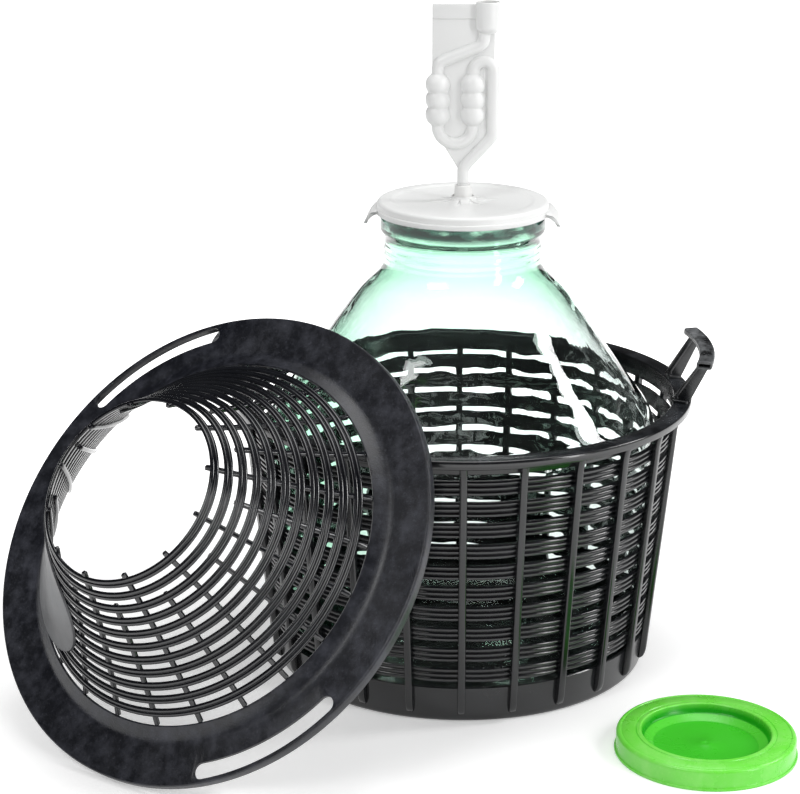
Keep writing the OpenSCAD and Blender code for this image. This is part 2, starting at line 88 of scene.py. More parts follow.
def ramp(tree, value, low, high, to_low=0.0, to_high=1.0, **settings):
    """The value's range from low to high, spread over the new range."""
    return put(tree, "MapRange", {"Value": value, "From Min": low, "From Max": high, "To Min": to_low,
                                  "To Max": to_high}, **settings).outputs["Result"]


def maths(tree, operation, *terms, clamp=False):
    return put(tree, "Math", dict(enumerate(terms)), operation=operation, use_clamp=clamp).outputs[0]


def length(tree, vector):
    return put(tree, "VectorMath", {0: vector}, operation="LENGTH").outputs["Value"]


def stretched(tree, vector, scale, turn=(0, 0, 0)):
    """Coordinates for a pattern that runs more one way than another."""
    return put(tree, "Mapping", {"Vector": vector, "Scale": scale, "Rotation": turn}).outputs["Vector"]


def number_mix(tree, share, first, second):
    return put(tree, "Mix", {0: share, 2: first, 3: second}).outputs[0]


def colour_mix(tree, share, *colours):
    """The first colour, which turns into the second as the share grows."""
    first, second = (colour if isinstance(colour, bpy.types.NodeSocket) else (*colour, 1)
                     for colour in colours)
    return put(tree, "Mix", {0: share, 6: first, 7: second}, data_type="RGBA").outputs[2]


def relief(tree, height, depth):
    """The shading of a surface whose height varies by the depth in metres."""
    return put(tree, "Bump", {"Strength": 1.0, "Distance": depth, "Height": height}).outputs["Normal"]


def new_material(name):
    """A material, its node tree and the object coordinates that lay its patterns."""
    material = bpy.data.materials.new(name)
    material.use_nodes = True
    tree = material.node_tree
    return material, tree, put(tree, "TexCoord").outputs["Object"]


def new_group(name, amounts, results):
    """A node group that takes a vector and these amounts, with its two end nodes."""
    group = bpy.data.node_groups.new(name, "ShaderNodeTree")
    group.interface.new_socket("Vector", in_out="INPUT", socket_type="NodeSocketVector")
    for label, value in amounts.items():
        socket = group.interface.new_socket(label, in_out="INPUT", socket_type="NodeSocketFloat")
        socket.default_value = value
    for label in results:
        group.interface.new_socket(label, in_out="OUTPUT", socket_type="NodeSocketFloat")
    return group, group.nodes.new("NodeGroupInput").outputs, group.nodes.new("NodeGroupOutput")


# Shader node groups

def moulded_grain_group():
    """Fine grain of moulded plastic, with slow waves from the mould under it."""
    tree, source, sink = new_group(
        "MouldedGrain", {"Grain Scale": 900.0, "Wave Scale": 18.0, "Wave Amount": 0.5},
        ("Height", "Variation"))
    grain = noise(tree, source["Vector"], source["Grain Scale"], 3.0)
    wave = noise(tree, source["Vector"], source["Wave Scale"], 4.0, 0.6)
    height = maths(tree, "MULTIPLY_ADD", wave, source["Wave Amount"], grain)
    feed(tree, sink, {"Height": height, "Variation": wave})
    return tree


def dust_group():
    """Pale dust in soft patches with fine specks and short scuffs."""
    tree, source, sink = new_group(
        "DustAndScuffs",
        {"Patch Scale": 22.0, "Speck Scale": 420.0, "Scuff Scale": 60.0, "Amount": 0.5}, ("Mask",))
    where = source["Vector"]
    patches = ramp(tree, noise(tree, where, source["Patch Scale"], 5.0, 0.65), 0.42, 0.72)
    specks = ramp(tree, noise(tree, where, source["Speck Scale"], 2.0), 0.60, 0.72)
    streaks = stretched(tree, where, (1.0, 0.12, 0.35), (0.3, 0.5, 0.9))
    scuffs = ramp(tree, noise(tree, streaks, source["Scuff Scale"], 3.0), 0.60, 0.70)
    marks = maths(tree, "MAXIMUM", specks, scuffs)
    dust = maths(tree, "MULTIPLY_ADD", marks, 0.5, patches)
    feed(tree, sink, {"Mask": maths(tree, "MULTIPLY", dust, source["Amount"], clamp=True)})
    return tree


GRAIN = moulded_grain_group()
DUST = dust_group()
DUST_ROUGHENS = 0.35
RING_BLUR = 0.0004


# Materials

def moulded_plastic(name, colour, dust_colour, roughness, dust_amount=0.4, depth=0.00006,
                    rough_spread=0.14, patch_scale=22.0, gloss=0.5, subsurface=0.0, paler_above=None,
                    recess=None):
    """Plastic or rubber with grain and dust.

    paler_above: (low, high, amount), for parts that turn paler grey the higher they lie.
    recess: (centre, rings), for painted shade that changes the colour inside each ring's radius.
    """
    material, tree, where = new_material(name)
    shader = tree.nodes["Principled BSDF"]
    grain = put(tree, "Group", {"Vector": where}, node_tree=GRAIN).outputs
    if paler_above:
        low, high, most = paler_above
        height = put(tree, "SeparateXYZ", {"Vector": where}).outputs["Z"]
        dust_amount = ramp(tree, height, low, high, dust_amount, most)
    dust = put(tree, "Group", {"Vector": where, "Amount": dust_amount, "Patch Scale": patch_scale},
               node_tree=DUST).outputs["Mask"]
    tint = colour_mix(tree, dust, colour, dust_colour)
    # painted shade in the spare cap's recess: each ring's colour covers what lies inside its radius
    if recess:
        centre, rings = recess
        offset = put(tree, "VectorMath", {0: where, 1: (*centre, 0)}, operation="SUBTRACT").outputs[0]
        level = put(tree, "VectorMath", {0: offset, 1: (1, 1, 0)}, operation="MULTIPLY").outputs[0]
        away = length(tree, level)
        for edge, shade_colour in rings:
            tint = colour_mix(tree, ramp(tree, away, edge + RING_BLUR, edge - RING_BLUR), tint, shade_colour)
    uneven = ramp(tree, grain["Variation"], 0.3, 0.7, roughness - rough_spread / 2,
                  roughness + rough_spread / 2)
    feed(tree, shader, {
        "Base Color": tint, "Specular IOR Level": gloss,
        "Roughness": maths(tree, "MULTIPLY_ADD", dust, DUST_ROUGHENS, uneven, clamp=True),
        "Normal": relief(tree, grain["Height"], depth)})
    if subsurface:
        feed(tree, shader, {"Subsurface Weight": subsurface, "Subsurface Scale": 1.0,
                            "Subsurface Radius": (0.004, 0.004, 0.004)})
    return material


# the lip's height range and the near-black green are painted shade, not the glass's own tint
NECK_GREEN_Z, FLANK_GREEN_X, LIP_SHADE_Z = (0.270, 0.322), (-0.045, -0.12), (0.3605, 0.3655)
CLEAR, SEA_GREEN, LIP_SHADE_GREEN = (0.985, 1.0, 0.993), (0.71, 0.945, 0.815), (0.0015, 0.016, 0.011)
GLASS_BODY = (0.26, 0.86, 0.68, 1)


def jar_glass():
    """Clear glass, slightly wavy, with a sea-green tint that deepens with its thickness."""
    material, tree, where = new_material("SeaGreenGlass")
    axes = put(tree, "SeparateXYZ", {"Vector": where}).outputs
    wave = noise(tree, stretched(tree, where, (1.0, 1.0, 1.6)), 16.0, 2.0)
    # the neck and the left flank are greener than the shoulder
    neck = ramp(tree, axes["Z"], *NECK_GREEN_Z)
    flank = ramp(tree, axes["X"], *FLANK_GREEN_X)
    green = colour_mix(tree, maths(tree, "MAXIMUM", neck, flank), CLEAR, SEA_GREEN)
    # the lip under the lid gets painted shade in streaks, which stands in for the dark surroundings
    # seen in the thick glass
    streaks = noise(tree, stretched(tree, where, (1.0, 1.0, 2.6)), 48.0, 4.0)
    lip = ramp(tree, axes["Z"], *LIP_SHADE_Z)
    lip_shade_share = maths(tree, "MULTIPLY", lip, ramp(tree, streaks, 0.36, 0.50, 0.40))
    feed(tree, tree.nodes["Principled BSDF"], {
        "Roughness": 0.0, "IOR": 1.5, "Transmission Weight": 1.0,
        "Base Color": colour_mix(tree, lip_shade_share, green, LIP_SHADE_GREEN),
        "Normal": relief(tree, wave, 0.0012)})
    body = put(tree, "VolumeAbsorption", {"Color": GLASS_BODY, "Density": 13.0})
    feed(tree, tree.nodes["Material Output"], {"Volume": body.outputs["Volume"]})
    return material


# height at which the surface starts to turn paler grey, height at which that is full, and the dust
# mask's amount there
RIM_TOP_PALING = (BASKET_H - 0.0008, BASKET_H + 0.0004, 0.38)
GRIP_TOP_PALING = (BASKET_H + 0.025, BASKET_H + 0.035, 0.85)
# radius and painted shade colour of each step down into the spare cap's recess, darkest on the wall and
# lightest on the sloped ledge
CAP_WALL_SHADE = (0.0489, (0.008, 0.36, 0.004))
CAP_LEDGE_SHADE = (0.0469, (0.085, 0.62, 0.035))
CAP_FLOOR_SHADE = (0.0401, (0.045, 0.52, 0.018))

BLACK = moulded_plastic("BlackLatticePlastic", (0.0032, 0.0036, 0.0046), (0.13, 0.14, 0.155), 0.18,
                        dust_amount=0.07, depth=0.00004, rough_spread=0.16, gloss=0.65,
                        paler_above=RIM_TOP_PALING)
HANDLE = moulded_plastic("HandlePlasticPalerOnTop", (0.0045, 0.005, 0.006), (0.27, 0.28, 0.29), 0.28,
                         dust_amount=0.10, patch_scale=46.0, paler_above=GRIP_TOP_PALING)
LATTICE = moulded_plastic("CoverLatticePlastic", (0.0026, 0.0031, 0.0050), (0.13, 0.14, 0.16), 0.15,
                          dust_amount=0.04, depth=0.00003, gloss=0.7)
FLANGE = moulded_plastic("ScuffedCoverPlastic", (0.0040, 0.0048, 0.0085), (0.10, 0.105, 0.135), 0.33,
                         dust_amount=0.26, depth=0.00016, patch_scale=75.0)
PLATE = moulded_plastic("SmoothPlatePlastic", (0.060, 0.061, 0.065), (0.24, 0.25, 0.26), 0.36,
                        dust_amount=0.5)
GLASS = jar_glass()
WHITE = moulded_plastic("WhiteLidPlastic", (0.765, 0.77, 0.765), (0.64, 0.64, 0.63), 0.42,
                        dust_amount=0.10, depth=0.00003, subsurface=0.08)
MILKY = moulded_plastic("MilkyAirlockPlastic", (0.765, 0.77, 0.765), (0.70, 0.70, 0.69), 0.36,
                        dust_amount=0.05, depth=0.00002, subsurface=0.08)
RUBBER = moulded_plastic("PaleGrommetRubber", (0.78, 0.78, 0.77), (0.64, 0.64, 0.62), 0.55,
                         dust_amount=0.10, depth=0.00004)
GREEN = moulded_plastic("GreenCapPlastic", (0.15, 0.70, 0.055), (0.42, 0.86, 0.28), 0.27,
                        dust_amount=0.30, depth=0.00004, patch_scale=34.0,
                        recess=(CAP_PLACE, (CAP_WALL_SHADE, CAP_LEDGE_SHADE, CAP_FLOOR_SHADE)))

for node_name, finish in {
        "basket_base": BLACK, "basket_wall": BLACK, "basket_rim": BLACK, "handle_right": HANDLE,
        "handle_left": HANDLE, "jar": GLASS, "lid": WHITE, "grommet": RUBBER, "airlock": MILKY,
        "cover_flange": FLANGE, "cover_cone": LATTICE, "cover_plate": PLATE,
        "spare_cap": GREEN}.items():
    for material_slot in nodes[node_name].material_slots:
        material_slot.material = finish


# Places and outlines

def turn_z(degrees):
    return Matrix.Rotation(math.radians(degrees), 4, "Z")


def turn_y(degrees):
    return Matrix.Rotation(math.radians(degrees), 4, "Y")


def shift(x, y, z):
    """A move that is given in millimetres."""
    return Matrix.Translation((x * MM, y * MM, z * MM))


def in_metres(points):
    return [tuple(value * MM for value in point) for point in points]


def arc(centre, radius, start, end, count):
    """Points of a circle's arc, between two angles in degrees."""
    angles = [math.radians(start + (end - start) * i / count) for i in range(count + 1)]
    return [(centre[0] + radius * math.cos(a), centre[1] + radius * math.sin(a)) for a in angles]


def bow(p, u, q, v, count):
    """Points of a smooth curve from p to q that leaves p along u and reaches q along v."""
    points = []
    for i in range(count + 1):
        t = i / count
        points.append(tuple(
            (1 - t) ** 3 * p[k] + 3 * (1 - t) ** 2 * t * (p[k] + u[k])
            + 3 * (1 - t) * t ** 2 * (q[k] - v[k]) + t ** 3 * q[k] for k in (0, 1)))
    return points


# Making pieces by hand

def deselect():
    for other in bpy.context.selected_objects:
        other.select_set(False)


def active(piece):
    deselect()
    piece.select_set(True)
    bpy.context.view_layer.objects.active = piece


def blank_piece(name):
    """A new piece at the origin, open in edit mode, that is one vertex."""
    deselect()
    bpy.ops.mesh.primitive_plane_add(size=0.01, location=(0, 0, 0))
    piece = bpy.context.object
    piece.name = name
    piece.data.name = name
    bpy.ops.object.mode_set(mode="EDIT")
    bpy.ops.mesh.select_all(action="SELECT")
    bpy.ops.mesh.merge(type="CENTER")
    return piece


def draw_line(points):
    """Extrudes the open piece's vertex from point to point."""
    points = [Vector(point) for point in points]
    bpy.ops.transform.translate(value=points[0])
    for here, there in zip(points, points[1:]):
        bpy.ops.mesh.extrude_region_move(TRANSFORM_OT_translate={"value": there - here})
    bpy.ops.mesh.select_all(action="SELECT")
    bpy.ops.mesh.remove_doubles(threshold=WELD)


def close_piece():
    """Welds the open piece, turns its faces outwards and leaves edit mode."""
    bpy.ops.mesh.select_all(action="SELECT")
    bpy.ops.mesh.remove_doubles(threshold=WELD)
    bpy.ops.mesh.normals_make_consistent(inside=False)
    bpy.ops.object.mode_set(mode="OBJECT")


def turned(name, outline, steps, angle=360.0, start=0.0, capped=True):
    """Spins a closed outline of (radius, height) points round Z, from the start angle on."""
    piece = blank_piece(name)
    first = math.radians(start)
    ring = [(r * math.cos(first), r * math.sin(first), z) for r, z in outline]
    draw_line(ring + ring[:1])
    capped = capped and angle < 360
    if capped:
        bpy.ops.mesh.edge_face_add()
    bpy.ops.mesh.spin(steps=steps, dupli=False, angle=-math.radians(angle), center=(0, 0, 0),
                      axis=(0, 0, 1))
    if capped:
        # the spin carries the first cap along, so the start is closed again
        ahead = Vector((math.cos(first), math.sin(first), 0))
        across = Vector((-math.sin(first), math.cos(first), 0))
        bpy.ops.mesh.select_all(action="DESELECT")
        shell = bmesh.from_edit_mesh(piece.data)
        for corner in shell.verts:
            corner.select = abs(across.dot(corner.co)) < WELD and ahead.dot(corner.co) > 0
        bmesh.update_edit_mesh(piece.data)
        bpy.ops.mesh.select_mode(type="VERT")
        if not any(face.select for face in shell.faces):
            bpy.ops.mesh.edge_face_add()
    close_piece()
    return piece


def slab(name, outline, width, across=(0, 1, 0)):
    """A flat plate: a closed outline of points, extruded both ways across its plane."""
    piece = blank_piece(name)
    half = Vector(across) * width / 2
    draw_line([Vector(point) - half for point in list(outline) + list(outline)[:1]])
    bpy.ops.mesh.edge_face_add()
    bpy.ops.mesh.extrude_region_move(TRANSFORM_OT_translate={"value": half * 2})
    close_piece()
    return piece


def upright(name, outline, width):
    """A slab that stands in the plane of X and Z, drawn in millimetres."""
    return slab(name, in_metres([(x, 0, z) for x, z in outline]), width * MM)


def pipe(name, route, radius):
    """A round bar along a route of points, made from a drawn line with a round bevel."""
    blank_piece(name)
    draw_line(route)
    bpy.ops.object.mode_set(mode="OBJECT")
    bpy.ops.object.convert(target="CURVE")
    line = bpy.context.object.data
    line.bevel_depth = radius
    line.bevel_resolution = 6
    line.use_fill_caps = True
    bpy.ops.object.convert(target="MESH")
    return bpy.context.object


def modified(piece, kind, **settings):
    """Applies a modifier with these settings to the piece."""
    active(piece)
    change = piece.modifiers.new(kind.lower(), kind)
    for label, value in settings.items():
        setattr(change, label, value)
    bpy.ops.object.modifier_apply(modifier=change.name)
    return piece


def soften(piece, width, segments, corner):
    """Rounds off the edges sharper than the corner angle, to a width in metres."""
    return modified(piece, "BEVEL", width=width, segments=segments, limit_method="ANGLE",
                    angle_limit=math.radians(corner))


def cut_with(piece, tool, way="DIFFERENCE"):
    """Cuts the piece with a tool, which is then thrown away."""
    modified(piece, "BOOLEAN", operation=way, solver="EXACT", object=tool)
    bpy.data.objects.remove(tool)
    return piece


def one_skin(piece, voxel, easing, rounds):
    """Wraps overlapping bodies in one skin of voxels, sized in metres, and eases its corners."""
    modified(piece, "REMESH", mode="VOXEL", voxel_size=voxel)
    return modified(piece, "SMOOTH", factor=easing, iterations=rounds)


def smooth(piece, corner):
    """Shades the piece smooth, except at edges sharper than the corner angle."""
    active(piece)
    bpy.ops.object.shade_smooth_by_angle(angle=math.radians(corner))
    return piece


def moved(piece, place):
    """Puts the piece's mesh at a place, so that its object stays at the origin."""
    piece.data.transform(place)
    return piece


def joined(name, parts):
    deselect()
    for part in parts:
        part.select_set(True)
    bpy.context.view_layer.objects.active = parts[0]
    bpy.ops.object.join()
    whole = bpy.context.object
    whole.name = name
    whole.data.name = name
    return whole


def copies(piece, places):
    """The piece's mesh at each place in the list, joined into the first one."""
    made = []
    for place in places:
        twin = piece.copy()
        twin.data = piece.data.copy()
        twin.data.transform(place)
        bpy.context.scene.collection.objects.link(twin)
        made.append(twin)
    name = piece.name
    bpy.data.objects.remove(piece)
    return joined(name, made)


def settle(piece, body, finish, slot, *stands_for):
    """Gives a finished piece its material and body, and hides the parts that it stands for."""
    piece.data.materials.clear()
    piece.data.materials.append(finish)
    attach(piece, body)
    if stands_for:
        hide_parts(*stands_for)


# Basket, in metres: slats between ribs, on a floor with a foot band and under a rim

RIM_IN_R = RIM_R - RIM_W
WALL_TOP_R = RIM_IN_R + BASKET_T
FOOT_BAND = 0.030
TOP_BAND = 0.012
SLATS = 10
SLAT_GAP = 0.005
SLAT_H = (BASKET_H - BASKET_T - TOP_BAND - FOOT_BAND - (SLATS + 1) * SLAT_GAP) / SLATS
REEDS = 3
REED_RISE = 0.0015
# share of a reed's height, and how far out the reed is there
REED_PROFILE = ((0.02, 0.0), (0.2, 0.72), (0.5, 1.0), (0.8, 0.72), (0.98, 0.0))
BAYS = 24
BAY_TURN = 360 / BAYS
MIDDLE_BULGE, SIDE_BULGE = 0.0009, 0.0007
RIB_W = 0.006
RIB_OUT = 0.005
GUSSET_Z = 0.204


def wall_r(z):
    return FOOT_R + (WALL_TOP_R - FOOT_R) * z / BASKET_H


def slat_bay():
    """One slat between two ribs, with round reeds, bulging a little in the middle."""
    reed = SLAT_H / REEDS
    low = FOOT_BAND + SLAT_GAP
    outline = [(wall_r(low) - BASKET_T, low)]
    for i in range(REEDS):
        for share, out in REED_PROFILE:
            z = low + (i + share) * reed
            outline.append((wall_r(z) + (out - 1) * REED_RISE, z))
    outline.append((wall_r(low + SLAT_H) - BASKET_T, low + SLAT_H))
    piece = turned("slat_bay", outline, 4, BAY_TURN, -BAY_TURN / 2)
    bpy.ops.object.mode_set(mode="EDIT")
    quarter = BAY_TURN / 4
    for turn, bulge in ((0, MIDDLE_BULGE), (quarter, SIDE_BULGE), (-quarter, SIDE_BULGE)):
        bpy.ops.mesh.select_all(action="DESELECT")
        shell = bmesh.from_edit_mesh(piece.data)
        for corner in shell.verts:
            at = math.degrees(math.atan2(corner.co.y, corner.co.x))
            corner.select = abs(at - turn) < 0.1
        shell.select_flush_mode()
        bmesh.update_edit_mesh(piece.data)
        bpy.ops.transform.translate(value=(bulge, 0, 0))
    bpy.ops.object.mode_set(mode="OBJECT")
    return piece


def basket_slats():
    bay = slat_bay()
    first_r = wall_r(FOOT_BAND + SLAT_GAP)
    places = []
    for row in range(SLATS):
        rise = row * (SLAT_H + SLAT_GAP)
        grow = wall_r(FOOT_BAND + SLAT_GAP + rise) / first_r
        stretch = Matrix.Diagonal((grow, grow, 1, 1))
        for i in range(BAYS):
            places.append(turn_z((i + 0.5) * 360 / BAYS) @ Matrix.Translation((0, 0, rise)) @ stretch)
    return copies(bay, places)


def basket_ribs():
    """Upright ribs with a rounded foot and a curved gusset under the rim."""
    top = BASKET_H - BASKET_T
    out = [(wall_r(0.0068) - 0.001, 0.0068), (wall_r(0.0072) + 0.0012, 0.0070),
           (wall_r(0.009) + 0.0034, 0.0088), (wall_r(0.012) + RIB_OUT - 0.0004, 0.012),
           (wall_r(0.016) + RIB_OUT, 0.016), (wall_r(0.196) + RIB_OUT, 0.196)]
    reach = RIM_R - BASKET_T - 0.0006
    start_r = wall_r(GUSSET_Z) + RIB_OUT
    for share in (0.15, 0.35, 0.6, 0.85, 1.0):
        out.append((start_r + (reach - start_r) * share ** 1.6, GUSSET_Z + (top - GUSSET_Z) * share))
    out.append((WALL_TOP_R - 0.001, top))
    rib = slab("rib", [(r, 0, z) for r, z in out], RIB_W)
    soften(rib, 0.0016, 3, 50)
    return copies(rib, [turn_z(i * 360 / BAYS) for i in range(BAYS)])


def basket_floor():
    """A flat floor whose edge rises into the foot band."""
    outline = [(0, 0), (FOOT_R - 0.004, 0), (FOOT_R - 0.0018, 0.0006), (FOOT_R - 0.0005, 0.0018),
               (wall_r(0.004), 0.004), (wall_r(FOOT_BAND) - 0.0003, FOOT_BAND - 0.0006),
               (wall_r(FOOT_BAND) - 0.0009, FOOT_BAND), (wall_r(FOOT_BAND) - BASKET_T, FOOT_BAND),
               (wall_r(0.006) - BASKET_T, 0.006), (wall_r(BASKET_T) - BASKET_T - 0.003, BASKET_T),
               (0, BASKET_T)]
    return turned("basket_floor", outline, 144)


def basket_rim():
    """The band at the wall's top, the ledge over it and the ledge's hanging skirt."""
    low = BASKET_H - BASKET_T - TOP_BAND
    skirt = BASKET_H - 0.007
    outline = [(wall_r(low) - BASKET_T, low + 0.0004), (wall_r(low) - BASKET_T + 0.0006, low),
               (wall_r(low) - 0.0006, low), (wall_r(low), low + 0.0006),
               (WALL_TOP_R, BASKET_H - BASKET_T), (RIM_R - BASKET_T, BASKET_H - BASKET_T),
               (RIM_R - BASKET_T + 0.0003, skirt + 0.0004), (RIM_R - BASKET_T + 0.001, skirt),
               (RIM_R - 0.0009, skirt), (RIM_R - 0.0002, skirt + 0.0007),
               (RIM_R, BASKET_H - 0.0016), (RIM_R - 0.0005, BASKET_H - 0.0006),
               (RIM_R - 0.0015, BASKET_H), (RIM_IN_R + 0.001, BASKET_H),
               (RIM_IN_R + 0.0002, BASKET_H - 0.0005), (RIM_IN_R, BASKET_H - 0.0014)]
    return turned("basket_rim_ring", outline, 192)


lattice = joined("basket_lattice", [basket_slats(), basket_ribs()])
settle(smooth(lattice, 42), "basket", BLACK, "black_plastic", "basket_wall")
settle(smooth(basket_floor(), 38), "basket", BLACK, "black_plastic", "basket_base")
settle(smooth(basket_rim(), 50), "basket", BLACK, "black_plastic", "basket_rim")


# Jar

BELLY_R, NECK_R, LIP_R, GLASS_T = 160.0, 63.0, 66.3, 4.5
MOUTH_IN_R = LIP_R - GLASS_T - 4
LIP_H = 23.0
NECK_BASE = JAR_H_MM - 50


def jar_outline():
    """Outer and inner outline of the glass, from the punt round to the punt."""
    top, mouth, t = JAR_H_MM, MOUTH_IN_R, GLASS_T
    foot, punt_r = BELLY_R - 42, BELLY_R - 68
    heel, shoulder = BELLY_R - 9, BELLY_R - 14
    flare = (NECK_R + 26, NECK_BASE - 29)
    outer = [(punt_r + 8, 0)]
    outer += bow((foot, 0), (22.4, 0), (heel, 46), (4, 32), 14)
    outer += bow((heel + 0.9, 56), (4, 30), (BELLY_R, 162), (0, 34), 12)
    outer += bow((BELLY_R, 166), (0, 22), (shoulder, 220), (-14, 16), 12)
    outer += bow(flare, (-13, 17), (NECK_R, NECK_BASE + 6), (0, 13), 14)
    # two faint rings round the neck, left by the mould
    for ring in (NECK_BASE + 9, NECK_BASE + 15):
        outer += [(NECK_R, ring - 1.2), (NECK_R + 0.45, ring), (NECK_R, ring + 1.2)]
    outer += [(NECK_R, top - LIP_H - 2), (NECK_R + 1.2, top - LIP_H - 0.6)]
    outer += arc((LIP_R - 4, top - LIP_H + 4), 4, -50, 0, 6)
    outer += arc((LIP_R - 4, top - 4), 4, 0, 90, 8)
    inner = arc((mouth + 2, top - 2), 2, 90, 180, 4)
    inner += [(mouth, top - LIP_H + 3), (mouth + 0.6, top - LIP_H - 2), (NECK_R - t, top - LIP_H - 9)]
    inner += bow((NECK_R - t, NECK_BASE + 6), (0, -13),
                 (flare[0] - t * 0.8, flare[1] - t * 0.6), (13, -17), 14)
    inner += bow((shoulder - t * 0.75, 220 - t * 0.66), (14, -16), (BELLY_R - t, 166), (0, -22), 12)
    inner += bow((BELLY_R - t, 162), (0, -34), (heel + 0.9 - t, 56), (-4, -30), 12)
    inner += bow((heel - t, 46), (-4, -32), (foot, t + 1.5), (-22.4, 0), 14)
    inner += bow((punt_r + 4, t + 1.5), (-20, 0), (0, 14 + t), (-40, 0), 12)
    punt = bow((0, 14), (40, 0), (punt_r, 1.2), (14, -3), 12)
    return outer + inner + punt


def glass_jar():
    outline = [(max(r, 0) * MM, JAR_Z + z * MM) for r, z in jar_outline()]
    return turned("glass_jar", outline, 160)


settle(smooth(glass_jar(), 60), "jar", GLASS, "green_glass", "jar")


# Handles: a hollow grip that is open at its ends, on two posts that lean outwards

HANDLE_H, HANDLE_LEAN, GRIP_W, GRIP_H = 37.5, 17.0, 12.5, 6.0
GRIP_TURN, GRIP_T, GRIP_ROUND = 30.0, 1.6, 2
GRIP_OUT_R = RIM_R_MM + HANDLE_LEAN


def handle_grip():
    """A flat tube with rounded corners, bent round the basket's axis and open at its ends."""
    out, top = GRIP_OUT_R - GRIP_ROUND, BASKET_H_MM + HANDLE_H
    inside, low = GRIP_OUT_R - GRIP_W + GRIP_ROUND, top - GRIP_H
    ring = []
    for centre, start in (((out, top - GRIP_ROUND), 0), ((inside, top - GRIP_ROUND), 90),
                          ((inside, low + GRIP_ROUND), 180), ((out, low + GRIP_ROUND), 270)):
        ring += arc(centre, GRIP_ROUND, start, start + 90, 4)
    piece = turned("grip", in_metres(ring), 20, GRIP_TURN, -GRIP_TURN / 2, capped=False)
    modified(piece, "SOLIDIFY", thickness=GRIP_T * MM, offset=-1)
    return soften(piece, 0.0004, 2, 60)


def handle_post(side):
    """A thin web and a flat leaning bar, on a pad that sits on the rim."""
    foot, sole = RIM_R_MM - 12, BASKET_H_MM - 0.5
    inside, top = GRIP_OUT_R - GRIP_W, BASKET_H_MM + HANDLE_H - GRIP_H + 0.8
    web = upright("web", [(foot - 1, sole), (RIM_R_MM - 1.5, sole), (GRIP_OUT_R - 2.6, top),
                          (inside + 1.2, top)], 3)
    flat = upright("flat", [
        (foot - 2, sole), (foot + 3, sole), (foot + 1.6, BASKET_H_MM + 5), (inside + 3, top),
        (inside + 1, top), (foot - 1.2, BASKET_H_MM + 5)], 8)
    pad = upright("pad", [(foot - 2, sole), (RIM_R_MM - 2, sole), (RIM_R_MM - 3, BASKET_H_MM + 2),
                          (foot - 1, BASKET_H_MM + 3)], 14)
    for part, width in ((web, 0.0007), (flat, 0.0007), (pad, 0.0009)):
        soften(part, width, 3, 30)
    return moved(joined("post", [web, flat, pad]), turn_z(side * (GRIP_TURN / 2 - 4)))


for handle_name, handle_turn in (("right", 0), ("left", 180)):
    handle = joined("grip_and_posts_" + handle_name, [handle_grip(), handle_post(-1), handle_post(1)])
    settle(smooth(moved(handle, turn_z(handle_turn)), 50), "basket", HANDLE, "black_plastic",
           "handle_" + handle_name)


# Lid: a drum on a wider ring, with two hanging ears and small webs round its boss

LID_IN_R = LIP_R + 0.3
LID_R = LID_IN_R + 3
PLUG_R = MOUTH_IN_R - 0.3
LID_T, LID_SKIRT, RING_H = 2.4, 10.0, 4.2
LID_LOW = LID_TOP - LID_SKIRT
WEB_TOP = LID_TOP - 1.2
# turn in degrees, reach and width of each web
WEBS = ((-172, 50, 6.4), (-118, 34, 5.0), (-84, 26, 7.0), (-38, 38, 5.4), (12, 48, 6.0),
        (48, 36, 5.0), (98, 32, 5.6), (140, 38, 5.0))


def lid_body():
    """The drum and its ring, hollow below, with a plug ring inside and a boss on a shallow dish."""
    top, low, under = LID_TOP, LID_LOW, LID_TOP - LID_T
    drum, dish = LID_R - 1.3, PLUG_R - 2
    outline = [(6, under), (PLUG_R - LID_T, under), (PLUG_R - LID_T + 0.4, under - 8),
               (PLUG_R - 0.6, under - 8), (PLUG_R, under - 6), (PLUG_R, under), (LID_IN_R, under),
               (LID_IN_R, low + 0.5), (LID_IN_R + 0.5, low)]
    outline += arc((LID_R - 0.8, low + 0.8), 0.8, -90, 0, 4)
    outline += arc((LID_R - 0.9, low + RING_H - 0.9), 0.9, 0, 80, 4)
    outline += [(drum + 0.15, low + RING_H + 0.1), (drum, low + RING_H + 0.6)]
    outline += arc((drum - 2.4, top - 2.4), 2.4, 0, 90, 7)
    outline += [(dish + 2.5, top), (dish + 1.2, top - 0.15), (dish - 0.6, top - 0.75),
                (dish - 2, top - 0.9), (16, top - 0.9)]
    outline += bow((15, top - 0.9), (-3.6, 0.1), (8.9, top + 3.4), (-0.8, 3.2), 7)
    outline += [(8.5, top + 3.0), (8.6, top - 0.6), (6, top - 0.7)]
    return turned("lid_body", in_metres(outline), 144)


def lid_ear():
    """A hanging ear that curves down from the lid's ring, with hollowed flanks and a round tip."""
    low = LID_LOW
    upper = bow((LID_R - 2.6, low + 3.9), (5.4, 0.1), (LID_R + 8.4, low - 7.2), (1.0, -3.8), 12)
    tip = arc((LID_R + 7.0, low - 7.4), 1.4, 0, -180, 4)
    lower = bow((LID_R - 2.6, low + 0.3), (2.4, 0), (LID_R + 5.6, low - 7.0), (1.0, -3.8), 12)
    piece = upright("ear", upper + tip[1:-1] + lower[::-1], 48)
    side = [(-23.5, low + 5), (-22.5, low + 3.2)]
    side += bow((-21.5, low + 2.6), (2.2, -0.4), (-17.6, low - 0.6), (0.4, -2.2), 6)
    side += bow((-17.3, low - 2.2), (0.1, -4.8), (-9.5, low - 8.3), (4.2, 0), 8)
    outline = side + [(-y, z) for y, z in reversed(side)]
    tool = slab("ear_outline", in_metres([(0, y, z) for y, z in outline]), 60 * MM, (1, 0, 0))
    cut_with(piece, moved(tool, shift(LID_R, 0, 0)), "INTERSECT")
    return soften(piece, 0.0007, 3, 50)


